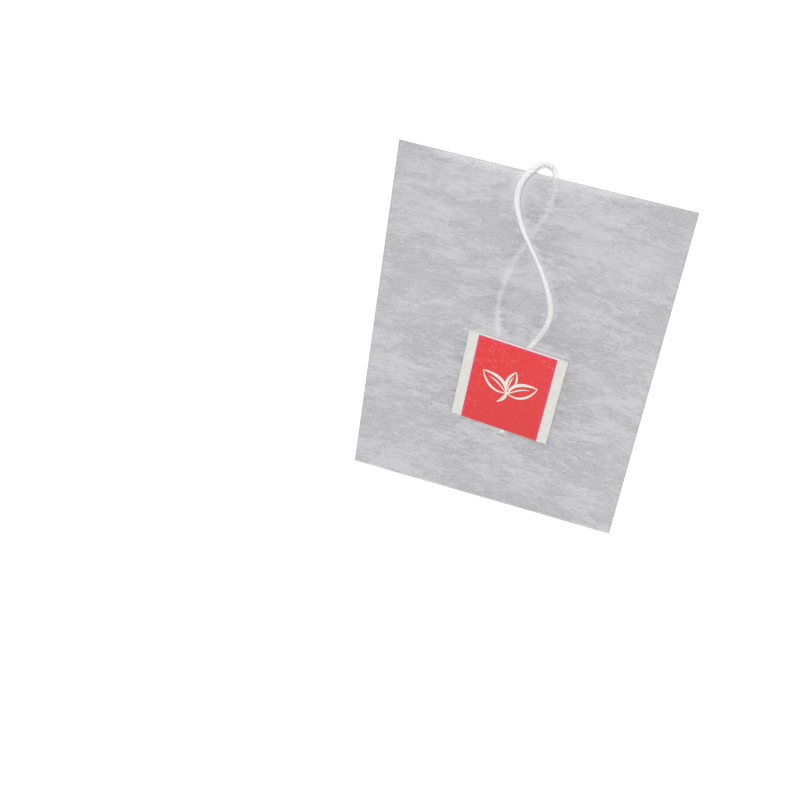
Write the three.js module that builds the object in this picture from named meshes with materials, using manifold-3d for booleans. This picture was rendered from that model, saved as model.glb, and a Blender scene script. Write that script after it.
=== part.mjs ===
// Empty string-and-tag tea bag: a pouch of thin fibre sheet that lies flat with its mouth open,
// a cotton string that loops over the mouth, and a printed card tag on the string's end.
// Millimetres, +Z up. The origin is the middle of the pouch's underside, +X runs across the
// pouch and +Y points to the mouth.
import * as THREE from "three";
import { mergeVertices } from "three/addons/utils/BufferGeometryUtils.js";
import Module from "manifold-3d";

// Pouch
const POUCH_WIDTH = 60;
const POUCH_LENGTH = 80;
const SHEET = 0.12; // thickness of the fibre sheet
const SIDE_SEAL = 1; // width of the fused band along each side
const SEAL_PRESS = 0.06; // how deep the front wall is fused into the back wall at a seal
const FOLD_RUN = 20; // distance from the bottom fold over which the two walls part
const POUCH_SLACK = 0.1; // spare height inside, over what the string takes

// String
const STRING = 1; // diameter
const STRING_PRESSED = 0.25; // height where the string is pressed flat under the tag
const PRESS_START = 3; // the string starts to flatten this far above the tag
const PRESS_END = 1; // and is flat this far above the tag
const CLEARANCE = 0.2; // between two pieces that lie on each other

// Tag
const TAG_WIDTH = 21.65;
const TAG_HEIGHT = 21.4;
const TAG_CARD = 0.25; // thickness of the card
const TAG_ASIDE = 1.52; // middle of the tag, to the right of the pouch's middle
const TAG_BELOW_MOUTH = 48; // middle of the tag, down from the mouth
const TAG_TURN = THREE.MathUtils.degToRad(1.7); // clockwise, seen from the front

// The string's route, from its end inside the pouch to its tail below the tag. Each point has
// its place across the pouch, its distance below the mouth and its level: 0 lies on the back
// wall inside the pouch, 1 lies on the front wall outside.
const STRING_ROUTE = [
  [0.9, 46.5, 0],
  [-0.7, 42.4, 0],
  [-2.52, 37.5, 0],
  [-3.64, 33.1, 0],
  [-4.14, 29.4, 0],
  [-3.98, 25.9, 0],
  [-3.36, 21.9, 0],
  [-2.22, 17.7, 0],
  [-0.74, 13.9, 0],
  [0.75, 10, 0],
  [2, 5.9, 0],
  [2.3, 2, 0],
  [2.14, 0.3, 0],
  [1.95, -0.55, 0.04],
  [1.62, -1.36, 0.12],
  [1.02, -2, 0.25],
  [0.2, -2.47, 0.41],
  [-0.72, -2.6, 0.58],
  [-1.58, -2.24, 0.76],
  [-2.4, -1.52, 0.92],
  [-3.17, -0.63, 1],
  [-4.04, 0.97, 1],
  [-4.51, 3.1, 1],
  [-4.19, 6.5, 1],
  [-2.64, 10.3, 1],
  [-0.54, 13.8, 1],
  [1.54, 16.8, 1],
  [3.88, 20.6, 1],
  [5.74, 24.4, 1],
  [6.82, 28.5, 1],
  [6.08, 32.8, 1],
  [4.12, 37.6, 1],
  [2.95, 42, 1],
  [2.4, 48, 1],
  [2.15, 54, 1],
  [1.93, 60.5, 1],
];

// How finely the curved pieces are divided
const WALL_COLUMNS = 14;
const WALL_ROWS = 16;
const STRING_SIDES = 8;
const STRING_STEPS = 76;
const ROUTE_SAMPLES = 800; // for even steps along the string

// Sizes that follow from the others
const MOUTH = POUCH_LENGTH / 2;
const FOLD = -POUCH_LENGTH / 2;
const SEAL_EDGE = POUCH_WIDTH / 2 - SIDE_SEAL; // where a side seal ends and the inside begins
const POUCH_RISE = STRING + 2 * CLEARANCE + POUCH_SLACK + SEAL_PRESS;
const INSIDE_LEVEL = SHEET + CLEARANCE + STRING / 2;
const TAG_MIDDLE = MOUTH - TAG_BELOW_MOUTH;
const TAG_TOP = TAG_MIDDLE + TAG_HEIGHT / 2;

// Height of the front wall's outer face at a place on the pouch: nothing but the sealed sheet at
// the sides and the fold, rising as a parabola across and as a half parabola from the fold.
function frontHeight(x, y) {
  const across = Math.min(Math.abs(x) / SEAL_EDGE, 1);
  const along = Math.min((y - FOLD) / FOLD_RUN, 1);
  const swell = (1 - across ** 2) * (1 - (1 - along) ** 2);
  return 2 * SHEET - SEAL_PRESS + POUCH_RISE * swell;
}

// Moves evenly spaced columns so that the outermost one on each side is the seal band.
function sealedColumn(x) {
  const column = POUCH_WIDTH / WALL_COLUMNS;
  const lastInner = POUCH_WIDTH / 2 - column;
  const inside = Math.abs(x) < lastInner + column / 2;
  return inside ? (x * SEAL_EDGE) / lastInner : x;
}

function frontWall() {
  const wall = new THREE.BoxGeometry(
    POUCH_WIDTH, POUCH_LENGTH, SHEET, WALL_COLUMNS, WALL_ROWS, 1);
  const points = wall.attributes.position;
  for (let i = 0; i < points.count; i++) {
    const x = sealedColumn(points.getX(i));
    const y = points.getY(i);
    const depth = SHEET / 2 - points.getZ(i);
    points.setXYZ(i, x, y, frontHeight(x, y) - depth);
  }
  return wall;
}

function backWall() {
  const wall = new THREE.BoxGeometry(POUCH_WIDTH, POUCH_LENGTH, SHEET);
  wall.translate(0, 0, SHEET / 2);
  return wall;
}

const wasm = await Module();
wasm.setup();

function toSolid(geometry) {
  geometry.deleteAttribute("normal");
  geometry.deleteAttribute("uv");
  const merged = mergeVertices(geometry);
  const vertProperties = new Float32Array(merged.attributes.position.array);
  const triVerts = new Uint32Array(merged.index.array);
  return new wasm.Manifold(new wasm.Mesh({ numProp: 3, vertProperties, triVerts }));
}

// Joins two closed geometries into one.
function joined(first, second) {
  const mesh = toSolid(first).add(toSolid(second)).getMesh();
  const geometry = new THREE.BufferGeometry();
  geometry.setAttribute("position", new THREE.BufferAttribute(mesh.vertProperties, 3));
  geometry.setIndex(new THREE.BufferAttribute(mesh.triVerts, 1));
  geometry.computeVertexNormals();
  return geometry;
}

// The string is an even tube along its route.
function stringPoint([x, belowMouth, level]) {
  const y = MOUTH - belowMouth;
  const outsideLevel = frontHeight(x, y) + CLEARANCE + STRING / 2;
  return new THREE.Vector3(x, y, THREE.MathUtils.lerp(INSIDE_LEVEL, outsideLevel, level));
}

function stringSection() {
  const corners = [];
  for (let i = 0; i < STRING_SIDES; i++) {
    const angle = (2 * Math.PI * i) / STRING_SIDES;
    corners.push(new THREE.Vector2(Math.cos(angle), Math.sin(angle)).multiplyScalar(STRING / 2));
  }
  return new THREE.Shape(corners);
}

// Presses the outer run of the string flat onto the front wall where the tag covers it.
function pressUnderTag(tube) {
  const points = tube.attributes.position;
  for (let i = 0; i < points.count; i++) {
    const y = points.getY(i);
    const z = points.getZ(i);
    const wall = frontHeight(points.getX(i), y);
    if (z > wall) {
      const round = THREE.MathUtils.smoothstep(y, TAG_TOP + PRESS_END, TAG_TOP + PRESS_START);
      const share = THREE.MathUtils.lerp(STRING_PRESSED / STRING, 1, round);
      const seat = wall + CLEARANCE;
      points.setZ(i, seat + (z - seat) * share);
    }
  }
}

function stringTube() {
  const route = new THREE.CatmullRomCurve3(STRING_ROUTE.map(stringPoint), false, "centripetal");
  route.arcLengthDivisions = ROUTE_SAMPLES;
  const tube = new THREE.ExtrudeGeometry(stringSection(), {
    steps: STRING_STEPS,
    extrudePath: route,
  });
  pressUnderTag(tube);
  tube.computeVertexNormals();
  return tube;
}

// The tag lies on the pressed string under its middle and leans to its left edge, which lies on
// the pouch.
function placeTag(tag) {
  const middleSeat = frontHeight(0, TAG_MIDDLE) + CLEARANCE + STRING_PRESSED + CLEARANCE;
  const edgeSeat = frontHeight(TAG_ASIDE - TAG_WIDTH / 2, TAG_MIDDLE) + CLEARANCE;
  const lean = Math.asin((middleSeat - edgeSeat) / (TAG_WIDTH / 2));
  tag.position.set(TAG_ASIDE, TAG_MIDDLE, middleSeat + TAG_CARD / 2);
  tag.rotation.set(0, -lean, -TAG_TURN, "ZYX");
}

// Looks
const fibreSheet = new THREE.MeshStandardMaterial({ color: 0xc8c8cc, roughness: 0.9, metalness: 0 });
const cotton = new THREE.MeshStandardMaterial({ color: 0xebeeee, roughness: 0.95, metalness: 0 });
const redCard = new THREE.MeshStandardMaterial({ color: 0xe04b4b, roughness: 0.7, metalness: 0 });

function piece(name, geometry, material) {
  const mesh = new THREE.Mesh(geometry, material);
  mesh.name = name;
  return mesh;
}

const pouch = piece("pouch", joined(frontWall(), backWall()), fibreSheet);
const string = piece("string", stringTube(), cotton);
const tag = piece("tag", new THREE.BoxGeometry(TAG_WIDTH, TAG_HEIGHT, TAG_CARD), redCard);
placeTag(tag);

const teaBag = new THREE.Group();
teaBag.add(pouch, string, tag);

export default teaBag;
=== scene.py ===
"""Empty string-and-tag tea bag, dressed for its portrait.

A flat pouch of thin fibre cloth lies on its back wall with its mouth open. A cotton string comes out
of the mouth in a small loop and runs down the front to a printed card tag. Metres, +Z up: the origin
is the middle of the pouch's underside, +X runs across the pouch and +Y points to the mouth.
"""
import math

import bmesh
import bpy
import numpy as np
from mathutils import Matrix, Vector


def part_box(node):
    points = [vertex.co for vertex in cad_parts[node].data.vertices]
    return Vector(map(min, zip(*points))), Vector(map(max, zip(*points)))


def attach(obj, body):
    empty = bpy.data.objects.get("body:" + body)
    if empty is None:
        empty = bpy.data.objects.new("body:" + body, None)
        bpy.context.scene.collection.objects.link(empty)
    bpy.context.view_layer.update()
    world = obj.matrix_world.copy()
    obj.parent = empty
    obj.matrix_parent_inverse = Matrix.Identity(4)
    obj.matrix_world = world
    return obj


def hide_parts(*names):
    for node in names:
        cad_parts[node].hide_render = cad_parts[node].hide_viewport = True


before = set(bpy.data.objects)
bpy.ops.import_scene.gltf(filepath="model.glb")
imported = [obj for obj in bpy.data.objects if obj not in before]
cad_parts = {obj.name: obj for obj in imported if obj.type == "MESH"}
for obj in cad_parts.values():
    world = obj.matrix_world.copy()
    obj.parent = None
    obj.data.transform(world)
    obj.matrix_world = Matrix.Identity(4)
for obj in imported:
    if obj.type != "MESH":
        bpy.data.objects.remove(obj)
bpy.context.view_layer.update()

bl_info = {
    "name": "Tea bag",
    "version": (1, 0, 0),
    "blender": (4, 5, 0),
    "location": "3D View > Sidebar > Tea bag",
    "description": "Builds an empty tea bag from its pouch, string and tag, and a stage for it",
    "category": "Add Mesh",
}

MM = 0.001
BODY = "root"
POUCH_LOW, POUCH_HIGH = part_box("pouch")
HALF_WIDTH = (POUCH_HIGH[0] - POUCH_LOW[0]) / 2
MOUTH = POUCH_HIGH[1]
FOLD = POUCH_LOW[1]

# The string's route, from its end inside the pouch to its tail below the tag. Each point has its
# place across the pouch and its distance below the mouth, both in millimetres, and its level: 0
# lies on the back wall inside the pouch, 1 lies on the front wall outside.
STRING_ROUTE = np.array([
    (0.9, 46.5, 0), (-0.7, 42.4, 0), (-2.52, 37.5, 0), (-3.64, 33.1, 0),
    (-4.14, 29.4, 0), (-3.98, 25.9, 0), (-3.36, 21.9, 0), (-2.22, 17.7, 0),
    (-0.74, 13.9, 0), (0.75, 10, 0), (2, 5.9, 0), (2.3, 2, 0),
    (2.14, 0.3, 0), (1.95, -0.55, 0.04), (1.62, -1.36, 0.12), (1.02, -2, 0.25),
    (0.2, -2.47, 0.41), (-0.72, -2.6, 0.58), (-1.58, -2.24, 0.76), (-2.4, -1.52, 0.92),
    (-3.17, -0.63, 1), (-4.04, 0.97, 1), (-4.51, 3.1, 1), (-4.19, 6.5, 1),
    (-2.64, 10.3, 1), (-0.54, 13.8, 1), (1.54, 16.8, 1), (3.88, 20.6, 1),
    (5.74, 24.4, 1), (6.82, 28.5, 1), (6.08, 32.8, 1), (4.12, 37.6, 1),
    (2.95, 42, 1), (2.4, 48, 1), (2.15, 54, 1), (1.93, 60.5, 1),
])
LEG = 2.2 * MM  # place across the pouch where the string comes out of the mouth


# Settings

def number(name, description, default, **more):
    """A plain number, with its unit where it has one."""
    return bpy.props.FloatProperty(name=name, description=description, default=default, **more)


def length(name, description, default):
    """A length, shown in the scene's unit."""
    return number(name, description, default, unit="LENGTH", precision=5)


def share(name, description, default):
    """A share of a whole, from 0 to 1."""
    return number(name, description, default, min=0, max=1, subtype="FACTOR")


def count(name, description, default):
    """A number of like things."""
    return bpy.props.IntProperty(name=name, description=description, default=default, min=0)


def colour(name, description, default):
    """A colour as a screen shows it, from 0 to 1 a channel."""
    return bpy.props.FloatVectorProperty(
        name=name, description=description, default=default, min=0, max=1, subtype="COLOR_GAMMA")


def point(name, description, default):
    """A place in the model's frame."""
    return bpy.props.FloatVectorProperty(
        name=name, description=description, default=default, subtype="XYZ", unit="LENGTH", precision=5)


class PouchSettings(bpy.types.PropertyGroup):
    """Sizes and colours of the pouch."""
    sheet: length("Sheet", "Thickness of the fibre sheet", 0.12 * MM)
    side_seal: length("Side seal", "Width of the pressed flat band along each side", 1.0 * MM)
    seal_gap: length("Seal gap", "Air left between the walls in a pressed side band", 0.01 * MM)
    cut_edge: length("Cut edge", "Width of the fused edge along each side", 0.15 * MM)
    seal_press: length("Seal press", "Depth by which the front wall is fused into the back wall", 0.06 * MM)
    fold_run: length("Fold run", "Distance from the fold over which the walls part", 20 * MM)
    rise: length("Rise", "How far the front wall stands up over the string inside", 1.56 * MM)
    wave: length("Waves", "Height of the soft waves in the cloth", 0.07 * MM)
    under: length("Underside", "Height that loose fibres hold the back wall up", 0.025 * MM)
    openness: share("Openness", "Share of light that passes between the fibres of one face", 0.67)
    glow: share("Glow", "Share of a fibre's light that comes through it from behind", 0.3)
    # Touch, beside the string and near the tag set painted light: glow over the string inside, and light that
    # fills the shadows of the string and the tag.
    touch: share("Touch", "How much paler the cloth is where the string touches it from inside", 0.52)
    beside: share("Beside the string", "How much paler the cloth is beside the string outside", 0.72)
    painted_light_near_tag: share("Near the tag", "How much paler the cloth is above and to the right of the tag", 0.95)
    rim: length("Rim", "Width of the dense line along the cut edges", 0.22 * MM)
    overhang: length("Overhang", "How far the front wall reaches past the back wall at the string", 0.75 * MM)
    overhang_run: length("Overhang run", "Distance from the string over which that fades", 8 * MM)
    lip: length("Lip", "How far the back wall shows beyond the front wall at the mouth", 0.72 * MM)
    fan: number("Fan", "How much the streaks bow across the cloth, for each millimetre", 0.003)
    band: length("Bands", "Distance between the broad pale bands across the cloth", 68 * MM)
    dense: share("Density", "How dense the cloth is on the whole", 0.52)
    fibre: colour("Fibre", "Colour of the dense places in the cloth", (0.925, 0.922, 0.932))
    shade: colour("Shade", "Colour of the thin places in the cloth", (0.646, 0.644, 0.658))
    # Pale is the colour of the painted light on the cloth.
    pale: colour("Pale", "Colour where light comes back from the string or the tag", (0.985, 0.985, 0.99))
    edge: colour("Edge", "Colour of the dense line along the cut edges", (0.765, 0.757, 0.75))
    strands: count("Strands", "Number of loose fibres laid on each wall", 1800)


class StringSettings(bpy.types.PropertyGroup):
    """Sizes and colours of the string."""
    diameter: length("Diameter", "Thickness of the string", 1.0 * MM)
    fluff: share("Fluff", "How much the loose outer fibres add to the thickness", 0.33)
    clearance: length("Clearance", "Air between the string and what it lies on", 0.05 * MM)
    inside_level: length("Inside level", "Height of the string's middle inside the pouch", 0.95 * MM)
    pressed: length("Pressed height", "Height where the string is pressed flat under the tag", 0.25 * MM)
    press_start: length("Press start", "Distance above the tag where the string starts to flatten", 8 * MM)
    press_end: length("Press end", "Distance above the tag where the string is flat", 0.5 * MM)
    taut: length("Taut place", "Distance below the mouth where the outer run is pulled slim", 15.5 * MM)
    taut_run: length("Taut run", "Distance from there over which it grows full again", 7.2 * MM)
    slim: share("Slim", "How much thinner the string is there", 0.45)
    sag: length("Sag", "How far the loop hangs down past the mouth", 0.84 * MM)
    lay: length("Lay", "Length of one turn of the twist", 3.4 * MM)
    cotton: colour("Cotton", "Colour of the cotton", (0.957, 0.958, 0.953))
    # The groove colour is painted shade in the twist's grooves; the loose hairs take it as their colour too.
    groove: colour("Groove", "Colour in the grooves of the twist", (0.932, 0.933, 0.933))
    # Dull cotton is painted shade: the string is darker in the loop and down to the tag.
    dull: colour("Dull cotton", "Colour in the loop and down to the tag", (0.888, 0.889, 0.886))
    hairs: count("Hairs", "Number of loose cotton hairs on the string", 1800)
    frayed: count("Frayed ends", "Number of loose ends at the string's tail", 150)


class TagSettings(bpy.types.PropertyGroup):
    """Sizes and colours of the tag."""
    width: length("Width", "Width of the card", 21.65 * MM)
    height: length("Height", "Height of the card", 21.4 * MM)
    card: length("Card", "Thickness of the card", 0.25 * MM)
    aside: length("Aside", "Middle of the tag, to the right of the pouch's middle", 1.52 * MM)
    below_mouth: length("Below the mouth", "Middle of the tag, down from the mouth", 48 * MM)
    turn: number("Turn", "Turn of the tag, clockwise from the front", math.radians(1.7), unit="ROTATION")
    seat: length("Seat", "Air between the tag and what it lies on", 0.2 * MM)
    margin: length("Margin", "Width of the bare strip on each side of the print", 2.2 * MM)
    top_line: length("Top line", "Height of the bare line above the print", 0.34 * MM)
    curl: length("Curl", "Height of the card's slight curl", 0.03 * MM)
    red: colour("Red", "Colour of the print", (0.888, 0.25, 0.256))
    bare: colour("Bare card", "Colour of the card", (0.904, 0.898, 0.875))
    motif: colour("Motif", "Colour of the sprig on the print", (0.91, 0.925, 0.885))


class StageSettings(bpy.types.PropertyGroup):
    """The camera, the floor and the light."""
    camera_place: point("Camera", "Place of the camera", (0.0288247, 0.1494366, 0.2434126))
    camera_aim: point("Aim", "Place on the floor in the middle of the picture", (-0.02174, -0.02037, 0))
    camera_up: bpy.props.FloatVectorProperty(
        name="Up", description="Direction that is up in the picture",
        default=(-0.26500519, 0.81579543, -0.5140526), subtype="DIRECTION")
    lens: number("Lens", "Focal length in millimetres", 61.216, unit="CAMERA")
    floor_size: length("Floor", "Width of the floor", 6.0)
    floor: colour("Floor colour", "Colour of the floor", (0.97, 0.97, 0.97))
    sky: number("Sky", "Strength of the even light from all round", 0.37, min=0)
    key_place: point("Key light", "Place of the large soft lamp", (0.14, 1.6, 2.58))
    key_size: length("Key size", "Width of the soft lamp", 1.6)
    key_power: number("Key power", "Power of the soft lamp", 74, min=0, unit="POWER")


# Shapes

def smooth_share(low, high, value):
    """From 0 at low to 1 at high, with level ends."""
    part = np.clip((value - low) / (high - low), 0, 1)
    return part * part * (3 - 2 * part)


def bell(away, width):
    """From 1 in the middle down to 0, with 0.37 left at the width."""
    return np.exp(-(away / width)**2)


def soft_waves(x, y, wavelength, seed, waves=7):
    """Plane waves in seeded directions with lengths near the one given, added up to about -1 to 1."""
    draws = np.random.default_rng(seed)
    turn = draws.uniform(0, math.tau, waves)
    pace = math.tau / (wavelength * draws.uniform(0.7, 1.6, waves))
    start = draws.uniform(0, math.tau, waves)
    way = np.cos(turn) * np.asarray(x)[..., None] + np.sin(turn) * np.asarray(y)[..., None]
    return np.sin(pace * way + start).sum(axis=-1) / math.sqrt(2 * waves)


def unit(vectors):
    """Vectors along the last axis, brought to length 1."""
    return vectors / np.maximum(np.linalg.norm(vectors, axis=-1, keepdims=True), 1e-12)


def swell(x, y, pouch, fold=FOLD):
    """Share of the full rise: a parabola across the inside times a half parabola up from the fold."""
    across = np.clip(np.abs(x) / (HALF_WIDTH - pouch.side_seal), 0, 1)
    along = np.clip((y - fold) / pouch.fold_run, 0, 1)
    return (1 - across**2) * (1 - (1 - along)**2)


def plain_height(x, y, pouch):
    """Height of the front wall's outer face without waves: the sealed sheet plus the swell."""
    return 2 * pouch.sheet - pouch.seal_press + pouch.rise * swell(x, y, pouch)


def front_waves(x, y, pouch):
    """Soft waves in the front wall, which die out at the seals and the fold."""
    return pouch.wave * soft_waves(x, y, 13 * MM, seed=5) * swell(x, y, pouch)


def front_height(x, y, pouch):
    """Height of the front wall's outer face with its waves."""
    return plain_height(x, y, pouch) + front_waves(x, y, pouch)


def back_height(x, y, pouch):
    """Height of the back wall's underside: loose fibres, plus soft waves that only lift."""
    waves = 0.5 + 0.5 * soft_waves(x, y, 17 * MM, seed=8)
    return pouch.under + pouch.wave * np.clip(waves, 0, 1) * swell(x, y, pouch)


def ring_faces(rows, around):
    """Quads between neighbouring rings of a closed loft, each ring right-handed about the path."""
    row, column = np.meshgrid(np.arange(rows - 1), np.arange(around), indexing="ij")
    after = (column + 1) % around
    corners = (row * around + column, row * around + after,
               (row + 1) * around + after, (row + 1) * around + column)
    return np.stack(corners, axis=-1).reshape(-1, 4)


def ring_cap(around, start=0):
    """Quads that close a loft's first ring, in strips across it from the edge before a starting point."""
    ahead = np.arange(around // 2 - 1)
    behind = around - 1 - ahead
    return (np.stack([ahead + 1, ahead, behind, behind - 1], axis=1) + start) % around


def capped_loft(rows, around, start=0):
    """Quads of a loft that is closed at both ends."""
    cap = ring_cap(around, start)
    return np.vstack([ring_faces(rows, around), cap, cap[:, ::-1] + (rows - 1) * around])


def add_object(name, data):
    """A new object in the scene, at the origin."""
    made = bpy.data.objects.new(name, data)
    bpy.context.scene.collection.objects.link(made)
    return made


def mesh_object(name, points, faces, patterns=None, sharp=math.radians(50)):
    """A smooth object at the origin; patterns holds named values or vectors, one for each point."""
    mesh = bpy.data.meshes.new(name)
    mesh.from_pydata(points.reshape(-1, 3).tolist(), [], faces)
    for key, values in (patterns or {}).items():
        kind, field = ("FLOAT_VECTOR", "vector") if np.ndim(values) > 1 else ("FLOAT", "value")
        layer = mesh.attributes.new(key, kind, "POINT")
        layer.data.foreach_set(field, np.ascontiguousarray(values, dtype=np.float32).ravel())
    mesh.shade_smooth()
    mesh.set_sharp_from_angle(angle=sharp)
    return add_object(name, mesh)


def merge_seams(piece, distance=1e-7):
    """Joins points that lie on each other, so that seams and folds are closed."""
    work = bmesh.new()
    work.from_mesh(piece.data)
    bmesh.ops.remove_doubles(work, verts=work.verts, dist=distance)
    work.to_mesh(piece.data)
    work.free()
    piece.data.set_sharp_from_angle(angle=math.radians(50))


def carried_frame(paths):
    """Along paths that stay near level: their direction, the way up from it and the way to its right."""
    ahead = unit(np.gradient(paths, axis=-2))
    right = unit(np.cross(ahead, (0, 0, 1)))
    return ahead, np.cross(right, ahead), right


def smooth_route(points, steps):
    """A centripetal curve through the points, sampled at even steps along its length."""
    ends = np.vstack([2 * points[0] - points[1], points, 2 * points[-1] - points[-2]])
    before, start, end, after = ends[:-3], ends[1:-2], ends[2:-1], ends[3:]

    def knot(a, b):
        return np.sqrt(np.linalg.norm(b - a, axis=1))[:, None]

    first, middle, last = knot(before, start), knot(start, end), knot(end, after)
    leave = (start - before) / first - (end - before) / (first + middle) + (end - start) / middle
    reach = (end - start) / middle - (after - start) / (middle + last) + (after - end) / last
    t = np.linspace(0, 1, 40, endpoint=False)[None, :, None]
    start, end, leave, reach = (part[:, None] for part in (start, end, leave * middle, reach * middle))
    curve = ((2 * t**3 - 3 * t**2 + 1) * start + (t**3 - 2 * t**2 + t) * leave
             + (3 * t**2 - 2 * t**3) * end + (t**3 - t**2) * reach).reshape(-1, 3)
    curve = np.vstack([curve, points[-1]])
    travelled = np.concatenate([[0], np.cumsum(np.linalg.norm(np.diff(curve, axis=0), axis=1))])
    even = np.linspace(0, travelled[-1], steps)
    return np.stack([np.interp(even, travelled, curve[:, axis]) for axis in range(3)], axis=1), even


# Finishes

def linear(screen):
    """The shader's value of a colour as a screen shows it."""
    value = np.array(screen)
    light = np.where(value <= 0.04045, value / 12.92, ((value + 0.055) / 1.055)**2.4)
    return (*light.tolist(), 1.0)


def toned(screen, part, other=(0, 0, 0)):
    """A colour as a screen shows it, times a part, with the rest from black or another colour."""
    return tuple(part * value + (1 - part) * under for value, under in zip(screen, other))


class Nodes:
    """A tree of shader nodes that are added one call at a time."""

    def __init__(self, tree):
        self.tree = tree

    def node(self, kind, settings=None, **inputs):
        """A shader node with its own settings; each input is a value or another node's output."""
        made = self.tree.nodes.new("ShaderNode" + kind)
        for key, value in (settings or {}).items():
            setattr(made, key, value)
        for key, value in inputs.items():
            socket = made.inputs[int(key[1:])] if key[0] == "_" else made.inputs[key.replace("_", " ")]
            self.put(value, socket)
        return made

    def put(self, value, socket):
        """Sets an input, or links an output to it."""
        if isinstance(value, bpy.types.NodeSocket):
            self.tree.links.new(value, socket)
        else:
            socket.default_value = value

    def pattern(self, name):
        """The vector that the piece carries under this name."""
        return self.node("Attribute", {"attribute_name": name}).outputs["Vector"]

    def value(self, name):
        """The single value that the piece carries under this name."""
        return self.node("Attribute", {"attribute_name": name}).outputs["Fac"]

    def across_along(self, place):
        """The two parts of a place on the cloth or the card."""
        parts = self.node("SeparateXYZ", Vector=place)
        return parts.outputs["X"], parts.outputs["Y"]

    def noise(self, place, scale, detail=2.0, roughness=0.5):
        """Noise from 0 to 1, with scale waves to a millimetre in each direction."""
        scaled = self.node("Mapping", Vector=place, Scale=scale).outputs[0]
        return self.node("TexNoise", Vector=scaled, Scale=1.0, Detail=detail,
                         Roughness=roughness).outputs[0]

    def strayed(self, onto, place, scale, detail, reach):
        """A place that noise moves about on the surface, by up to the reach."""
        drift = self.node("TexNoise", Vector=place, Scale=scale, Detail=detail).outputs["Color"]
        return self.node("VectorMath", {"operation": "MULTIPLY_ADD"},
                         _0=drift, _1=(reach, reach, 0.0), _2=onto).outputs[0]

    def math(self, operation, first, second=0.0, third=0.0, clamp=False):
        """One arithmetic step."""
        return self.node("Math", {"operation": operation, "use_clamp": clamp},
                         _0=first, _1=second, _2=third).outputs[0]

    def lean(self, middle, *parts):
        """A value that parts, each from 0 to 1 with its weight, move to both sides of the middle."""
        total = middle - sum(weight for _, weight in parts) / 2
        for signal, weight in parts:
            total = self.math("MULTIPLY_ADD", signal, weight, total)
        return total

    def ramp(self, value, low, high, to_low=0.0, to_high=1.0, kind="LINEAR"):
        """Carries low..high of a value to to_low..to_high, clamped."""
        return self.node("MapRange", {"interpolation_type": kind}, Value=value, From_Min=low,
                         From_Max=high, To_Min=to_low, To_Max=to_high).outputs[0]

    def mix(self, factor, *ends):
        """Blends two colours, each an output or a colour as a screen shows it."""
        first, second = (end if isinstance(end, bpy.types.NodeSocket) else linear(end) for end in ends)
        return self.node("Mix", {"data_type": "RGBA"}, _0=factor, _6=first, _7=second).outputs[2]


class Finish(Nodes):
    """A material and the nodes that feed its surface."""

    def __init__(self, name, roughness):
        self.material = bpy.data.materials.new(name)
        self.material.use_nodes = True
        super().__init__(self.material.node_tree)
        self.shader = self.tree.nodes["Principled BSDF"]
        self.set("Roughness", roughness)

    def bump(self, height, distance):
        """Fine relief of the given depth."""
        made = self.node("Bump", Strength=1.0, Distance=distance, Height=height)
        self.set("Normal", made.outputs[0])

    def set(self, name, value):
        """Sets or links an input of the surface."""
        self.put(value, self.shader.inputs[name])


def cut_edges(cloth, across, along, pouch):
    """The back wall's lip at the mouth, widest in the middle, and the dense line along the cut edges."""
    half = HALF_WIDTH / MM
    reach = (MOUTH - FOLD) / MM
    line = pouch.rim / MM
    wide = cloth.ramp(cloth.math("MULTIPLY", across, across), 0, half**2, pouch.lip / MM, 0.0)
    lip = cloth.ramp(cloth.math("SUBTRACT", along, wide), -reach - 0.1, -reach + 0.1, 1.0, 0.0)
    sides = cloth.ramp(cloth.math("ABSOLUTE", across), half - line, half - 0.3 * line)
    mouth = cloth.math("MAXIMUM", cloth.ramp(along, -reach + line, -reach + 0.3 * line),
                       cloth.ramp(along, reach - 0.02, reach - 0.01))
    return lip, cloth.math("MAXIMUM", sides, mouth)


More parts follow.
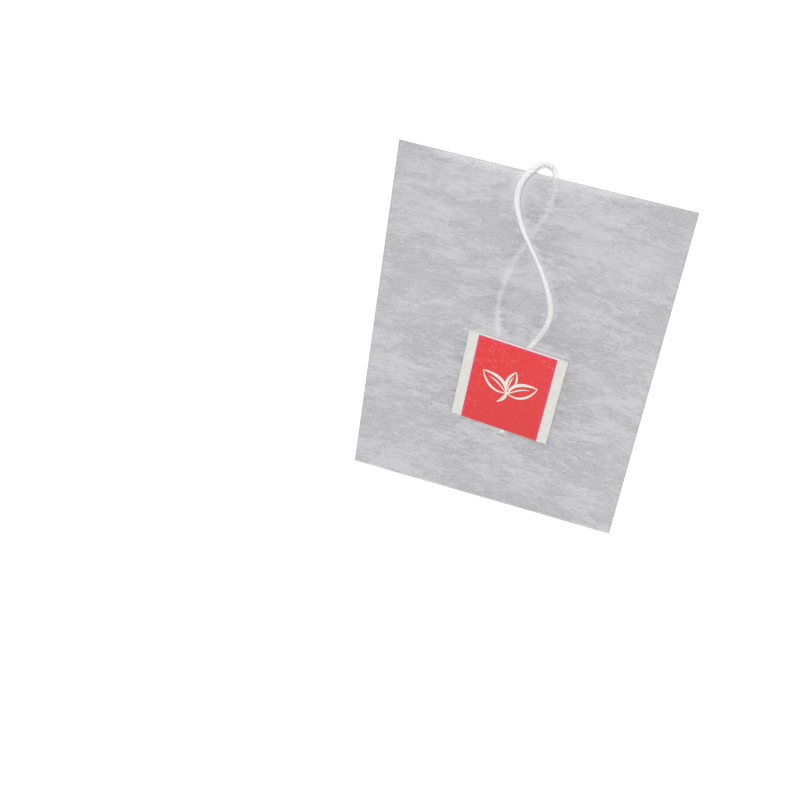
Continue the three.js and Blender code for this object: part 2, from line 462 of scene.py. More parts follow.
def fibre_sheet_finish(pouch):
    """Non-woven cloth: soft drifting streaks at all scales, dense where it is pale, open where it is thin.

    Thin places stand out more than dense ones, and the cloth is more even to the mouth. Light passes
    between the fibres and, more softly, through them.
    """
    cloth = Finish("fibre_sheet", roughness=0.85)
    cloth.set("Specular IOR Level", 0.25)
    place = cloth.pattern("cloth")
    across, along = cloth.across_along(place)
    fan = cloth.math("MULTIPLY_ADD", cloth.math("MULTIPLY", across, across), pouch.fan, along)
    bowed = cloth.node("CombineXYZ", X=across, Y=fan).outputs[0]
    drifting = cloth.strayed(bowed, place, scale=0.05, detail=1.0, reach=3.5)
    clouds = cloth.noise(drifting, (0.05, 0.08, 1), detail=1)
    mottle = cloth.noise(drifting, (0.135, 0.345, 1), detail=4, roughness=0.85)
    streaks = cloth.noise(drifting, (0.5, 1.75, 1), detail=2, roughness=0.6)
    turn, first_band = math.tau / pouch.band * MM, 0.65
    band = cloth.math("SINE", cloth.math("MULTIPLY_ADD", along, turn, first_band))
    uneven = cloth.lean(0.0, (clouds, 1.7), (mottle, 3.2), (streaks, 0.95))
    thinner = -0.55
    uneven = cloth.math("MULTIPLY_ADD", cloth.math("MULTIPLY", uneven, uneven), thinner, uneven)
    reach = (MOUTH - FOLD) / MM
    contrast = cloth.ramp(cloth.math("ABSOLUTE", along), 0.6 * reach, 0.85 * reach, 1.2, 0.9)
    broadly = cloth.math("MULTIPLY_ADD", band, 0.09, pouch.dense)
    density = cloth.ramp(cloth.math("MULTIPLY_ADD", uneven, contrast, broadly), -0.4, 1.1, kind="SMOOTHSTEP")
    cover = cloth.ramp(density, 0, 1, 0.85 - pouch.openness, 1.15 - pouch.openness)
    tone = cloth.mix(density, pouch.shade, pouch.fibre)
    # Paler places take painted light and glow: the cloth turns to the pale colour and grows denser there.
    paler = cloth.value("paler")
    lip, rim = cut_edges(cloth, across, along, pouch)
    for share_of, colour_there, weight, cover_there in (
            (paler, pouch.pale, 1.0, 0.8), (lip, pouch.fibre, 0.5, 0.58), (rim, pouch.edge, 0.9, 0.9)):
        tone = cloth.mix(cloth.math("MULTIPLY", share_of, weight), tone, colour_there)
        cover = cloth.math("MULTIPLY_ADD", share_of, cloth.math("SUBTRACT", cover_there, cover), cover)
    cloth.set("Base Color", tone)
    cloth.bump(density, 0.012 * MM)
    glow = cloth.node("BsdfTranslucent", Color=linear(pouch.fibre))
    fibres = cloth.node("MixShader", Fac=pouch.glow, _1=cloth.shader.outputs[0], _2=glow.outputs[0])
    clear = cloth.node("BsdfTransparent")
    whole = cloth.node("MixShader", Fac=cover, _1=clear.outputs[0], _2=fibres.outputs[0])
    cloth.put(whole.outputs[0], cloth.tree.nodes["Material Output"].inputs["Surface"])
    return cloth.material


def strand_finish(name, screen):
    """Single fibres: each a little lighter or darker than its neighbours."""
    strand = Finish(name, roughness=0.7)
    strand.set("Base Color", strand.mix(strand.value("tone"), toned(screen, 0.92), screen))
    return strand.material


def cotton_finish(string):
    """Twisted cotton: pale strands, fine fibres along them, painted shade in the grooves, the loop and down
    to the tag.
    """
    cotton = Finish("cotton", roughness=0.9)
    fibres = cotton.noise(cotton.pattern("strand"), (7, 7, 0.9), detail=3, roughness=0.6)
    tone = cotton.math("ADD", cotton.value("ridge"), cotton.ramp(fibres, 0.3, 0.7, -0.12, 0.12), clamp=True)
    # Lit and shaded copies of the cotton: bright where light falls full, painted shade in the loop and down
    # to the tag.
    bright = cotton.mix(tone, string.groove, string.cotton)
    dull = cotton.mix(tone, toned(string.dull, 0.95), toned(string.dull, 1.035))
    cotton.set("Base Color", cotton.mix(cotton.value("dull"), bright, dull))
    cotton.bump(fibres, 0.03 * MM)
    cotton.set("Specular IOR Level", 0.25)
    cotton.set("Sheen Weight", 0.5)
    cotton.set("Sheen Roughness", 0.6)
    cotton.set("Subsurface Weight", 0.8)
    cotton.set("Subsurface Radius", (1.0, 1.0, 1.0))
    cotton.set("Subsurface Scale", 0.5 * string.diameter)
    return cotton.material


def card_finish(tag):
    """Bare card: off-white with a fine upright rib and faint mottling."""
    card = Finish("bare_card", roughness=0.8)
    place = card.pattern("card")
    rib = card.noise(place, (4.5, 0.35, 1), detail=2)
    mottle = card.noise(place, (0.9, 0.9, 1), detail=3)
    tone = card.math("ADD", card.math("MULTIPLY", rib, 0.6), card.math("MULTIPLY", mottle, 0.4))
    card.set("Base Color", card.mix(card.ramp(tone, 0.3, 0.7), toned(tag.bare, 0.93), tag.bare))
    card.bump(tone, 0.015 * MM)
    return card.material


def print_finish(tag):
    """Red print: lighter to the top, pinker along its rim, with pale specks where the ink is thin.

    The ink is thin to the upper left and in the upper right corner, where it is rubbed.
    """
    ink = Finish("red_print", roughness=0.62)
    place = ink.pattern("card")
    across, along = ink.across_along(place)
    edge = (tag.width / 2 - tag.margin) / MM
    top = (tag.height / 2 - tag.top_line) / MM
    upper = ink.ramp(along, -top, top)
    rubbed = ink.node("VectorMath", {"operation": "DISTANCE"}, _0=place,
                      _1=(edge - 1.4, top - 1.6, 0)).outputs["Value"]
    worn = ink.lean(0.4, (upper, 0.7), (ink.ramp(across, -edge, edge), -1.0),
                    (ink.noise(place, (0.22, 0.22, 1)), 0.8))
    worn = ink.math("MAXIMUM", worn, ink.ramp(rubbed, 0.3, 2.0, 3.4, 0.0))

    grain = ink.noise(place, (2.2, 2.2, 1), detail=4, roughness=0.65)
    base = ink.mix(ink.math("ADD", upper, ink.ramp(grain, 0.3, 0.7, -0.4, 0.4), clamp=True),
                   toned(tag.red, 0.955), tag.red)
    deep = (tag.red[0], 0.84 * tag.red[1], 0.84 * tag.red[2])
    base = ink.mix(ink.math("MULTIPLY", ink.ramp(grain, 0.42, 0.62), ink.ramp(worn, 0, 0.8)), base, deep)
    rim = ink.math("MAXIMUM", ink.ramp(ink.math("ABSOLUTE", across), edge - 0.65, edge - 0.15),
                   ink.ramp(along, top - 0.65, top - 0.15))
    pink = (tag.red[0], tag.red[1], 1.65 * tag.red[2])
    base = ink.mix(ink.math("MULTIPLY", rim, 0.9), base, pink)

    spread = ink.strayed(place, place, scale=1.7, detail=2.0, reach=0.9)
    spots = ink.node("TexVoronoi", {"voronoi_dimensions": "2D"}, Vector=spread, Scale=1.4)
    size = ink.node("SeparateColor", Color=spots.outputs["Color"]).outputs[0]
    near = ink.math("SUBTRACT", ink.ramp(size, 0.2, 1.0, 0.0, 0.65), spots.outputs["Distance"])
    specks = ink.math("MULTIPLY", ink.ramp(near, 0.0, 0.6), ink.ramp(worn, 0, 2.4, 0.06, 0.85))
    ink.set("Base Color", ink.mix(specks, base, toned(tag.red, 0.5, tag.bare)))
    ink.bump(grain, 0.01 * MM)
    return ink.material


def motif_finish(tag):
    """Pale line print with a trace of uneven ink."""
    line = Finish("motif_print", roughness=0.65)
    grain = line.noise(line.pattern("card"), (2.5, 2.5, 1), detail=3)
    duller = toned(tag.motif, 0.93, tag.red)
    line.set("Base Color", line.mix(line.ramp(grain, 0.35, 0.65), duller, tag.motif))
    return line.material


# Pieces

def pouch_rings(pouch, columns=112, rows=180):
    """Rings round the pouch: the outer skin from the fold to the mouth, then the inner skin back.

    Each ring runs across the front wall and back across the back wall, with its points closer in the
    middle, where the string is. The inner skin is narrower by the fused cut edges. Its front stands off
    its back by the swell and by a hair in the pressed seals, and they meet at the edges and the fold.
    At the mouth the front wall reaches past the back wall by a bell about the string.
    Returns the points and, for each, its place on the unfolded sheet in millimetres.
    """
    bead = np.array([0, 0.3, 0.65]) * pouch.side_seal
    part = np.linspace(-1, 1, columns)
    inside = (HALF_WIDTH - pouch.side_seal) * (0.42 * part + 0.58 * part**3)
    outer_x = np.concatenate([bead - HALF_WIDTH, inside, HALF_WIDTH - bead[::-1]])
    outer_y = np.linspace(FOLD, MOUTH, rows)
    inner_x = outer_x * (HALF_WIDTH - pouch.cut_edge) / HALF_WIDTH
    inner_y = np.linspace(MOUTH, FOLD + pouch.sheet, rows)

    x, y = np.meshgrid(outer_x, outer_y)
    edge = bell(HALF_WIDTH - np.abs(x), 0.25 * pouch.side_seal)
    outer_front = front_height(x, y, pouch) + 0.5 * pouch.seal_press * edge
    outer = ring_of_walls(x, y, outer_front, back_height(x, y, pouch))

    x, y = np.meshgrid(inner_x, inner_y)
    back = back_height(x, y, pouch) + pouch.sheet
    parted = np.pad(np.ones((rows - 1, len(inner_x) - 2)), ((0, 1), (1, 1)))
    gap = ((pouch.rise - pouch.seal_press) * swell(x, y, pouch, FOLD + pouch.sheet)
           + pouch.seal_gap * parted)
    waves = front_waves(x, y, pouch) * swell(x, y, pouch)
    inner = ring_of_walls(x, y, back + np.maximum(gap + waves, 0.5 * gap), back)

    points = np.concatenate([outer, inner])
    along = np.abs(points[..., 1] - FOLD)
    front = np.arange(points.shape[1]) < len(outer_x)
    unfolded = np.stack([points[..., 0], np.where(front, along, -along), 0 * along], axis=-1) / MM
    over = bell(points[..., 0] - LEG, pouch.overhang_run)
    points[..., 1] += pouch.overhang * over * front * smooth_share(MOUTH - 6 * MM, MOUTH, points[..., 1])
    return points, unfolded


def ring_of_walls(x, y, front, back):
    """Joins the front wall, left to right, and the back wall, right to left, into rings."""
    across = np.concatenate([x, x[:, ::-1]], axis=1)
    along = np.concatenate([y, y[:, ::-1]], axis=1)
    height = np.concatenate([front, back[:, ::-1]], axis=1)
    return np.stack([across, along, height], axis=-1)


def painted_light_places(points, path, pouch, tag):
    """Share by which each point of the front wall is paler than the plain cloth.

    Over the string inside it is the sum of a narrow and a broad bell, less so to the mouth: partly the
    cloth pressed denser on the string, partly painted glow of the white string behind it and painted
    light that fills the string's shadow inside. Beside the string outside, which throws light back onto
    the cloth, it is one bell of painted light that fills the string's shadow. Round the tag it is painted
    light that fills the tag's shadow: a narrow bell at the edge and a broad one outside it, mostly above
    the tag and to its right, where its edges stand off the cloth, and deeper under the edge where that
    stands higher. At the mouth the back wall has its share too, painted light over the string's shadow.
    """
    flat = points[..., :2].reshape(-1, 2)
    top = np.argmax(path[:, 1])

    def away_from(line):
        return np.sqrt(((flat[:, None] - line)**2).sum(axis=2).min(axis=1))

    inside = away_from(path[:top:4, :2])
    fade = 1 - 0.6 * smooth_share(0, 0.75 * MOUTH, flat[:, 1])
    over = fade * 0.6 * (bell(inside, 0.65 * MM) + bell(inside, 1.45 * MM))
    beside = bell(away_from(path[top::4, :2]), 1.3 * MM)
    cos, sin = math.cos(tag.turn), math.sin(tag.turn)
    local = (flat - (tag.aside, MOUTH - tag.below_mouth)) @ np.array([(cos, sin), (-sin, cos)])
    inset = 1.4 * MM
    outside = np.sign(local) * np.maximum(np.abs(local) + inset - (tag.width / 2, tag.height / 2), 0)
    out = np.linalg.norm(outside, axis=1)
    aside, above = np.clip(outside.T / (out + 0.01 * MM), 0, 1)
    beyond = out - inset
    raised = np.clip(local[:, 0] / (tag.width / 2), 0, 1)
    under = beyond + (0.1 + 0.35 * raised) * MM
    broad = (1.6 + (0.3 + 1.4 * raised) * above) * MM
    painted_light_near_tag = ((0.55 - (0.1 - 0.12 * raised) * above) * bell(np.maximum(beyond, 0), broad)
                + 0.4 * bell(under, (0.4 + 0.35 * raised) * MM))
    painted_light_near_tag *= np.maximum(np.maximum(above, 0.75 * aside), 0.1)
    # Painted light and glow on the cloth: the largest of the three shares at each point.
    paler = np.maximum.reduce([pouch.touch * over, pouch.beside * beside, pouch.painted_light_near_tag * painted_light_near_tag])
    front = np.arange(points.shape[1]) < points.shape[1] // 2
    return paler * (front | (points[..., 1] > MOUTH - 1.2 * MM)).ravel()


def make_pouch(pouch, string, tag):
    """The folded sheet as one closed shell, open at the mouth."""
    points, unfolded = pouch_rings(pouch)
    # The paler pattern carries painted light and glow onto the cloth.
    paler = painted_light_places(points, string_path(pouch, string)[0], pouch, tag)
    rows, around = points.shape[:2]
    faces = np.vstack([ring_faces(rows, around), ring_cap(around)])
    patterns = {"cloth": unfolded.reshape(-1, 3), "paler": paler}
    piece = mesh_object("pouch_cloth", points, faces.tolist(), patterns)
    merge_seams(piece)
    piece.data.materials.append(fibre_sheet_finish(pouch))
    return piece


def thin_tubes(name, lines, radius, tone):
    """Many thin three-sided tubes along lines of equal step count, closed by a triangle at each end."""
    tubes, steps = lines.shape[:2]
    _, up, right = carried_frame(lines)
    angle = math.tau * np.arange(3)[:, None] / 3
    taper = radius[:, None] * np.sin(np.linspace(0.35, math.pi - 0.35, steps))**0.5
    around = up[:, :, None] * np.cos(angle) + right[:, :, None] * np.sin(angle)
    points = lines[:, :, None] + around * taper[..., None, None]
    base = 3 * steps * np.arange(tubes)[:, None, None]
    sides = (ring_faces(steps, 3) + base).reshape(-1, 4)
    first = np.array([2, 1, 0]) + base[:, 0]
    last = 3 * (steps - 1) + np.arange(3) + base[:, 0]
    faces = sides.tolist() + first.tolist() + last.tolist()
    return mesh_object(name, points, faces, {"tone": np.repeat(tone, 3 * steps)}, sharp=math.pi)


def fibre_lines(pouch, seed, steps=7):
    """Loose fibres of the cloth seen from above: bowed lines that mostly run across, drifting together.

    A fibre's heading is a slow wave over the cloth plus its own lean, and turns evenly along it. A
    fibre that would leave the sheet is moved back until only its tip stands out.
    """
    draws = np.random.default_rng(seed)
    many = pouch.strands
    middle = np.stack([draws.uniform(-HALF_WIDTH, HALF_WIDTH, many),
                       draws.uniform(FOLD, MOUTH, many)], axis=1)
    reach = np.clip(draws.lognormal(math.log(5.0 * MM), 0.35, many), 2 * MM, 11 * MM)
    heading = 0.28 * soft_waves(*middle.T, 32 * MM, seed) + draws.normal(0, 0.3, many)
    stray = draws.uniform(size=many) < 0.14
    heading = np.where(stray, draws.uniform(-math.pi / 2, math.pi / 2, many), heading)
    bend = draws.normal(0, 0.5, many)
    part = np.linspace(-0.5, 0.5, steps)
    turn = heading[:, None] + bend[:, None] * part
    step = np.stack([np.cos(turn), np.sin(turn)], axis=-1) * (reach / (steps - 1))[:, None, None]
    line = np.cumsum(step, axis=1)
    line += (middle - line.mean(axis=1))[:, None]
    tip = draws.uniform(-0.3, 0.04, many)[:, None] * MM
    for axis, low, high in ((0, -HALF_WIDTH, HALF_WIDTH), (1, FOLD, MOUTH)):
        line[..., axis] -= np.maximum(line[..., axis].max(axis=1, keepdims=True) - high - tip, 0)
        line[..., axis] += np.maximum(low - tip - line[..., axis].min(axis=1, keepdims=True), 0)
    radius = draws.uniform(0.004, 0.010, many) * MM
    return line, radius, draws.uniform(0, 1, many)


def make_fibres(pouch):
    """Loose fibres on the front wall's face and on the back wall's."""
    finish = strand_finish("loose_fibre", pouch.fibre)
    pieces = []
    for name, seed, height, out in (
            ("front_fibres", 21, front_height, 0.4), ("back_fibres", 22, back_height, -0.4)):
        line, radius, tone = fibre_lines(pouch, seed)
        level = height(line[..., 0], np.clip(line[..., 1], FOLD, MOUTH), pouch) + out * radius[:, None]
        lines = np.concatenate([line, level[..., None]], axis=2)
        piece = thin_tubes(name, lines, radius, tone)
        piece.data.materials.append(finish)
        pieces.append(piece)
    return pieces


def string_path(pouch, string, steps=1250):
    """The string's middle line: inside level, front wall level or between, and hanging in the loop."""
    x, below, level = (STRING_ROUTE * (MM, MM, 1)).T
    y = MOUTH - below
    outside = front_height(x, np.minimum(y, MOUTH), pouch) + string.clearance + string.diameter / 2
    sag = string.sag * smooth_share(0.4 * MM, 2.4 * MM, y - MOUTH)
    z = string.inside_level + (outside - string.inside_level) * level - sag
    return smooth_route(np.stack([x, y, z], axis=1), steps)


def string_section(turn, lobes=3, offset=0.09):
    """Radius round a twisted string of lobes strands: the outline of lobes equal overlapping circles."""
    step = math.tau / lobes
    angle = (turn + step / 2) % step - step / 2
    strand = 1 - offset
    return offset * np.cos(angle) + np.sqrt(strand**2 - (offset * np.sin(angle))**2)


def past_loop(path, travelled):
    """Distance along the string from the top of its loop."""
    return travelled - travelled[np.argmax(path[:, 1])]


def string_form(path, travelled, string, tag):
    """Girth and flatness along the string.

    The string grows fuller as it comes out of the mouth. The outer run is slimmest where it is taut, by
    a bell about that place, and goes from round to flat and less full above the tag.
    """
    past = past_loop(path, travelled)
    outer = smooth_share(-1 * MM, 5 * MM, past)
    taut = bell(path[:, 1] - MOUTH + string.taut, string.taut_run)
    tag_top = MOUTH - tag.below_mouth + tag.height / 2
    roundness = smooth_share(tag_top + string.press_end, tag_top + string.press_start, path[:, 1])
    flat = np.where(past > 0, 1 - roundness, 0)
    return 1 + (string.fluff * (1 - 0.5 * flat**3) - string.slim * taut) * outer, flat


def make_string(pouch, string, tag, around=30):
    """Twisted section carried along the route and pressed flat under the tag.

    Its tail is wavy, wider and thinner.
    """
    path, travelled = string_path(pouch, string)
    girth, flat = (form[:, None] for form in string_form(path, travelled, string, tag))
    path[:, 2] -= (1 - girth[:, 0]) * string.diameter / 2
    ahead, up, right = carried_frame(path)
    angle = np.linspace(0, math.tau, around, endpoint=False)[None, :]
    twist = angle - math.tau * travelled[:, None] / string.lay
    reach = string_section(twist) * girth * string.diameter / 2
    tail = smooth_share(travelled[-1] - string.diameter, travelled[-1], travelled)[:, None]
    sideways = reach * np.sin(angle) * (1 + 0.55 * tail)
    ragged = 0.25 * string.diameter * tail * (0.6 + soft_waves(np.sin(angle), 0 * angle, 1.4, seed=4))
    points = (path[:, None] + up[:, None] * (reach * np.cos(angle))[..., None]
              + right[:, None] * sideways[..., None] + ahead[:, None] * ragged[..., None])
    seat = front_height(points[..., 0], np.minimum(points[..., 1], MOUTH), pouch) + string.clearance
    squeeze = (1 - flat * (1 - string.pressed / string.diameter)) * (1 - 0.75 * tail)
    points[..., 2] = np.where(flat > 0, seat + (points[..., 2] - seat) * squeeze, points[..., 2])
    strand = np.stack([np.cos(twist) * reach, np.sin(twist) * reach,
                       np.broadcast_to(travelled[:, None], twist.shape)], axis=-1) / MM
    # Ridge is 1 on the strands' crowns; off them the cotton takes the groove colour, painted shade in the
    # grooves.
    ridge = smooth_share(0.95, 0.99, string_section(twist))
    faces = capped_loft(len(points), around, start=around // 4 + 1).tolist()
    past = past_loop(path, travelled)
    # Painted shade along the string: in the loop, and growing down to the tag.
    dull = np.maximum(1 - smooth_share(3 * MM, 6.5 * MM, np.abs(past + 0.5 * MM)),
                      smooth_share(12 * MM, 46 * MM, past))
    patterns = {"strand": strand.reshape(-1, 3), "ridge": ridge.ravel(), "dull": np.repeat(dull, around)}
    piece = mesh_object("string_cotton", points, faces, patterns, math.radians(70))
    piece.data.materials.append(cotton_finish(string))
    return piece, path, travelled


def fuzz_lines(draws, string, tag, path, travelled, part):
    """Short bowed hairs that leave the string's upper sides and trail along it."""
    many = string.hairs
    girth, flat = string_form(path, travelled, string, tag)
    shown = np.flatnonzero((past_loop(path, travelled) > -3 * MM) & (flat < 0.9))
    ahead, up, right = carried_frame(path)
    spot = draws.choice(shown, many)
    angle = draws.uniform(-1.9, 1.9, many)[:, None]
    out = up[spot] * np.cos(angle) * (1 - 0.75 * flat[spot])[:, None] + right[spot] * np.sin(angle)
    along = ahead[spot] * draws.choice((-1, 1), many)[:, None]
    aside = np.cross(out, along) * draws.normal(0, 0.4, many)[:, None]
    reach = draws.uniform(0.3, 1.0, many)[:, None, None] * MM
    lift = draws.uniform(0.05, 0.28, many)[:, None, None]
    start = path[spot] + 0.46 * string.diameter * girth[spot, None] * out
    start[:, 2] -= 0.38 * string.diameter * flat[spot]
    return start[:, None] + reach * (
        part * along[:, None] + lift * np.sin(1.8 * part) * out[:, None] + part**2 * aside[:, None])


def frayed_lines(draws, string, path, level, part):
    """Loose ends that fan out from the flat tail, low over the cloth."""
    many = string.frayed
    ahead, _, right = (way[-1] for way in carried_frame(path))
    aside = draws.uniform(-0.65, 0.65, many)[:, None, None] * string.diameter
    reach = draws.uniform(0.25, 1.0, many)[:, None, None] * MM
    fan = 0.8 * aside / string.diameter + draws.normal(0, 0.3, many)[:, None, None]
    lines = path[-1] + aside * right + (part - 0.3) * reach * (ahead + fan * part * right)
    lines[..., 2] = level + string.pressed * draws.uniform(0.2, 0.9, many)[:, None]
    return lines


def make_hairs(pouch, string, tag, path, travelled, steps=5):
    """Loose cotton hairs along the string and at its frayed tail, none of them under the pouch."""
    draws = np.random.default_rng(33)
    part = np.linspace(0, 1, steps)[None, :, None]
    level = front_height(*path[-1, :2], pouch) + string.clearance
    lines = np.concatenate([fuzz_lines(draws, string, tag, path, travelled, part),
                            frayed_lines(draws, string, path, level, part)])
    lines[..., 2] = np.maximum(lines[..., 2], pouch.under)
    many = len(lines)
    radius = draws.uniform(0.006, 0.011, many) * MM
    piece = thin_tubes("string_hairs", lines, radius, draws.uniform(0.3, 1, many))
    piece.data.materials.append(strand_finish("cotton_hair", string.groove))
    return piece


def tag_place(pouch, string, tag):
    """Where the tag lies: on the flat string under its middle, leaning down to its left edge."""
    middle_y = MOUTH - tag.below_mouth
    middle = plain_height(0.0, middle_y, pouch) + 2 * tag.seat + string.pressed
    edge = plain_height(tag.aside - tag.width / 2, middle_y, pouch) + tag.seat
    lean = math.asin((middle - edge) / (tag.width / 2))
    spot = Vector((tag.aside, middle_y, middle + tag.card / 2))
    return Matrix.Translation(spot) @ Matrix.Rotation(-tag.turn, 4, "Z") @ Matrix.Rotation(-lean, 4, "Y")


def on_tag(local, place):
    """Points of the tag's own frame, in the model's frame."""
    turn = np.array(place.to_3x3())
    return local @ turn.T + np.array(place.translation)


def card_bow(x, y, tag):
    """The card's slight curl: a shallow dish that lifts its corners by a little."""
    return tag.curl * ((2 * x / tag.width)**2 + 0.6 * (2 * y / tag.height)**2 - 0.8)


def make_tag(tag, place):
    """A thin card: rings across its face and back, from its lower to its upper edge."""
    half, edge = tag.width / 2, tag.width / 2 - tag.margin
    x = np.concatenate([np.linspace(-half, -edge, 4)[:-1], np.linspace(-edge, edge, 21),
                        np.linspace(edge, half, 4)[1:]])
    y = np.concatenate([np.linspace(-tag.height / 2, tag.height / 2 - tag.top_line, 24), [tag.height / 2]])
    across, along = np.meshgrid(x, y)
    bow = card_bow(across, along, tag)
    rings = ring_of_walls(across, along, bow + tag.card / 2, bow - tag.card / 2)
    rows, around = rings.shape[:2]
    faces = capped_loft(rows, around)
    local = rings.reshape(-1, 3)
    piece = mesh_object("tag_card", on_tag(local, place), faces.tolist(), {"card": local / MM})
    piece.data.materials.append(card_finish(tag))
    piece.data.materials.append(print_finish(tag))
    middle = local[faces].mean(axis=1)
    index = np.arange(len(faces))
    on_face = (index < (rows - 1) * around) & (index % around < around // 2 - 1)
    printed = on_face & (np.abs(middle[:, 0]) < edge) & (middle[:, 1] < tag.height / 2 - tag.top_line)
    piece.data.polygons.foreach_set("material_index", printed.astype(np.int32))
    return piece


def stroke(start, first, second, end, width, steps=40):
    """A brush line: a cubic curve whose width swells from a fine start to the middle and thins again."""
    t = np.linspace(0, 1, steps)[:, None]
    curve = ((1 - t)**3 * start + 3 * (1 - t)**2 * t * first + 3 * (1 - t) * t**2 * second + t**3 * end)
    ahead = unit(np.gradient(curve, axis=0))
    side = np.stack([ahead[:, 1], -ahead[:, 0]], axis=1)
    half = width / 2 * (0.3 + 0.7 * np.sin(math.pi * t))
    return curve - side * half, curve + side * half


def leaf_strokes(base, tip, belly, width):
    """A leaf as three brush lines: two bowed edges from base to tip and a finer rib between them."""
    base, tip = np.array(base) * MM, np.array(tip) * MM
    axis = tip - base
    side = unit(np.array([-axis[1], axis[0]]))
    lines = []
    for bow, weight in ((belly, 1.0), (-belly, 0.7)):
        out = side * bow * MM
        lines.append(stroke(base, base + 0.2 * axis + out, base + 0.62 * axis + out, tip, width * weight))
    bend = side * 0.25 * belly * MM
    lines.append(stroke(base, base + 0.3 * axis + bend, base + 0.5 * axis + bend, base + 0.72 * axis,
                        0.45 * width))
    return lines


def make_print(tag, place, ink=0.012 * MM):
    """A sprig of two leaves and a bud in pale lines, printed on the red field."""
    width = 0.75 * MM
    lines = leaf_strokes((0.25, -1.5), (6.1, 1.9), 2.1, width)
    lines += leaf_strokes((-0.3, -1.4), (-6.1, 2.4), -2.0, width)
    lines += leaf_strokes((0.0, -0.5), (0.9, 4.3), 1.25, 0.85 * width)
    stem = np.array([(0.0, -1.0), (-0.1, -2.2), (-0.5, -3.2), (-1.7, -4.2)]) * MM
    lines.append(stroke(*stem, width))
    points, faces = [], []
    for layer, (left, right) in enumerate(lines):
        top = ink * (1 + 0.1 * layer)
        ring = [np.column_stack([edge, card_bow(*edge.T, tag) + tag.card / 2 + height])
                for edge, height in ((left, top), (right, top), (right, 0.2 * ink), (left, 0.2 * ink))]
        rings = np.stack(ring, axis=1)
        faces.append(capped_loft(len(rings), 4) + 4 * len(rings) * layer)
        points.append(rings.reshape(-1, 3))
    local = np.vstack(points)
    piece = mesh_object("tag_sprig", on_tag(local, place), np.vstack(faces).tolist(), {"card": local / MM})
    piece.data.materials.append(motif_finish(tag))
    return piece


# Stage

def make_camera(stage):
    """The camera from its place, its aim and the direction that is up in the picture."""
    place = Vector(stage.camera_place)
    back = (place - Vector(stage.camera_aim)).normalized()
    right = Vector(stage.camera_up).cross(back).normalized()
    up = back.cross(right)
    data = bpy.data.cameras.new("camera")
    data.lens = stage.lens
    camera = add_object("camera", data)
    camera.matrix_world = Matrix.Translation(place) @ Matrix((right, up, back)).transposed().to_4x4()
    bpy.context.scene.camera = camera


def seen_rays(nodes):
    """1 for rays of the camera, of a reflection and of clear matter, and 0 for rays that only light."""
    rays = nodes.node("LightPath").outputs
    thrown_on = nodes.math("MAXIMUM", rays["Is Glossy Ray"], rays["Is Transmission Ray"])
    return nodes.math("MAXIMUM", rays["Is Camera Ray"], thrown_on)


def make_floor(stage):
    """A wide level sheet just under the pouch, white to the camera where no shadow falls and far away."""
    half, below = stage.floor_size / 2, 0.02 * MM
    across, along = np.meshgrid(np.linspace(-half, half, 3), np.linspace(-half, half, 3))
    points = np.stack([across, along, np.full_like(across, -below)], axis=-1)
    row, column = (index.ravel() for index in np.meshgrid(np.arange(2), np.arange(2), indexing="ij"))
    corner = 3 * row + column
    faces = np.stack([corner, corner + 1, corner + 4, corner + 3], axis=1).tolist()
    floor = mesh_object("floor", points, faces)
    paper = Finish("floor_paper", roughness=0.9)
    paper.set("Base Color", linear(stage.floor))
    paper.set("Specular IOR Level", 0.0)
    paper.set("Emission Color", (1, 1, 1, 1))
    place = paper.node("TexCoord").outputs["Object"]
    away = paper.node("VectorMath", {"operation": "LENGTH"}, _0=place).outputs["Value"]
    white = paper.ramp(away, 0.15, 0.6, 0.12, 1.0)
    paper.set("Emission Strength", paper.math("MULTIPLY", seen_rays(paper), white))
    floor.data.materials.append(paper.material)


def make_light(stage):
    """Even light from all round, white where it is seen, and one large soft lamp from beyond the mouth."""
    world = bpy.data.worlds.new("studio")
    bpy.context.scene.world = world
    world.use_nodes = True
    sky = Nodes(world.node_tree)
    background = sky.tree.nodes["Background"].inputs
    sky.put((1, 1, 1, 1), background["Color"])
    sky.put(sky.ramp(seen_rays(sky), 0, 1, stage.sky, 1.0), background["Strength"])
    data = bpy.data.lights.new("key", "AREA")
    data.shape = "DISK"
    data.size = stage.key_size
    data.energy = stage.key_power
    lamp = add_object("key", data)
    place = Vector(stage.key_place)
    lamp.matrix_world = Matrix.Translation(place) @ place.to_track_quat("Z", "Y").to_matrix().to_4x4()
    bpy.context.scene.view_settings.view_transform = "Standard"


# Operators

class TEABAG_OT_stage(bpy.types.Operator):
    """Sets up the camera, the floor and the light"""
    bl_idname = "tea_bag.stage"
    bl_label = "Stage"

    def execute(self, context):
        stage = context.scene.tea_stage
        make_camera(stage)
        make_floor(stage)
        make_light(stage)
        return {"FINISHED"}


class TEABAG_OT_tag(bpy.types.Operator):
    """Makes the card tag and the sprig printed on it"""
    bl_idname = "tea_bag.tag"
    bl_label = "Tag"

    def execute(self, context):
        scene = context.scene
        place = tag_place(scene.tea_pouch, scene.tea_string, scene.tea_tag)
        card = make_tag(scene.tea_tag, place)
        sprig = make_print(scene.tea_tag, place)
        for piece in (card, sprig):
            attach(piece, BODY)
        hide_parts("tag")
        return {"FINISHED"}


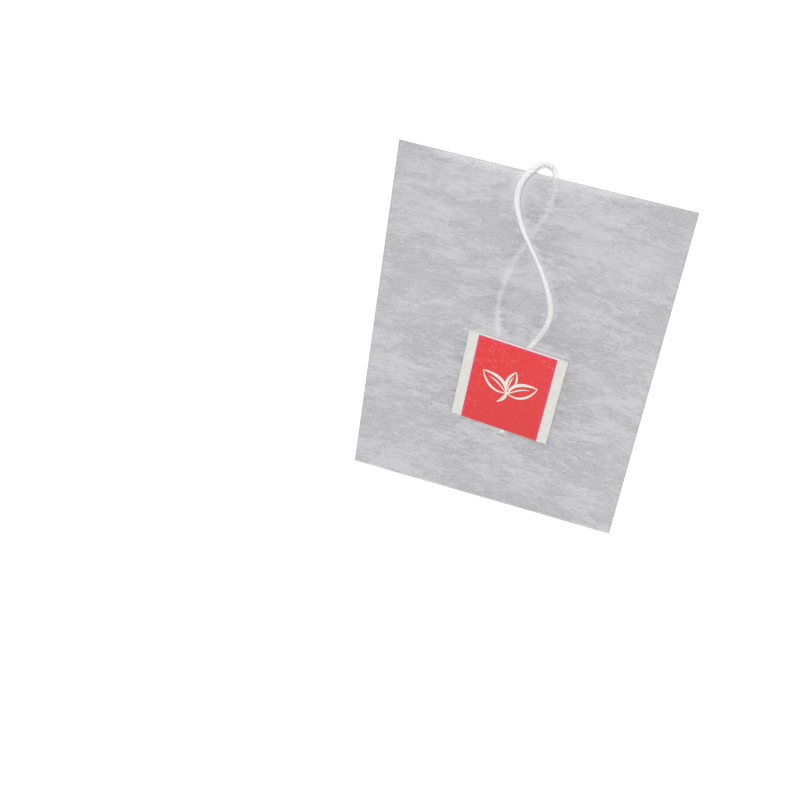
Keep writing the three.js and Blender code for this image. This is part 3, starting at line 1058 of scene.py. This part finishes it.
class TEABAG_OT_string(bpy.types.Operator):
    """Makes the twisted string along its route"""
    bl_idname = "tea_bag.string"
    bl_label = "String"

    def execute(self, context):
        scene = context.scene
        piece, path, travelled = make_string(scene.tea_pouch, scene.tea_string, scene.tea_tag)
        hairs = make_hairs(scene.tea_pouch, scene.tea_string, scene.tea_tag, path, travelled)
        for part in (piece, hairs):
            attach(part, BODY)
        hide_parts("string")
        return {"FINISHED"}


class TEABAG_OT_pouch(bpy.types.Operator):
    """Makes the folded pouch of fibre cloth"""
    bl_idname = "tea_bag.pouch"
    bl_label = "Pouch"

    def execute(self, context):
        scene = context.scene
        pouch = scene.tea_pouch
        piece = make_pouch(pouch, scene.tea_string, scene.tea_tag)
        fibres = make_fibres(pouch)
        for part in (piece, *fibres):
            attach(part, BODY)
        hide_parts("pouch")
        return {"FINISHED"}


class TEABAG_PT_panel(bpy.types.Panel):
    """Lists the steps that build the tea bag"""
    bl_idname = "TEABAG_PT_panel"
    bl_label = "Tea bag"
    bl_space_type = "VIEW_3D"
    bl_region_type = "UI"
    bl_category = "Tea bag"

    def draw(self, context):
        for step in STEPS:
            self.layout.operator(step.bl_idname)


STEPS = (TEABAG_OT_stage, TEABAG_OT_tag, TEABAG_OT_string, TEABAG_OT_pouch)
SETTINGS = {
    "tea_pouch": PouchSettings,
    "tea_string": StringSettings,
    "tea_tag": TagSettings,
    "tea_stage": StageSettings,
}


def register():
    for kind in (*SETTINGS.values(), *STEPS, TEABAG_PT_panel):
        bpy.utils.register_class(kind)
    for name, kind in SETTINGS.items():
        setattr(bpy.types.Scene, name, bpy.props.PointerProperty(type=kind))


def unregister():
    for name in SETTINGS:
        delattr(bpy.types.Scene, name)
    for kind in (TEABAG_PT_panel, *reversed(STEPS), *reversed(SETTINGS.values())):
        bpy.utils.unregister_class(kind)


def main():
    """Builds the stage and the pieces."""
    register()
    bpy.ops.tea_bag.stage()
    bpy.ops.tea_bag.tag()
    bpy.ops.tea_bag.string()
    bpy.ops.tea_bag.pouch()


if __name__ == "__main__":
    main()
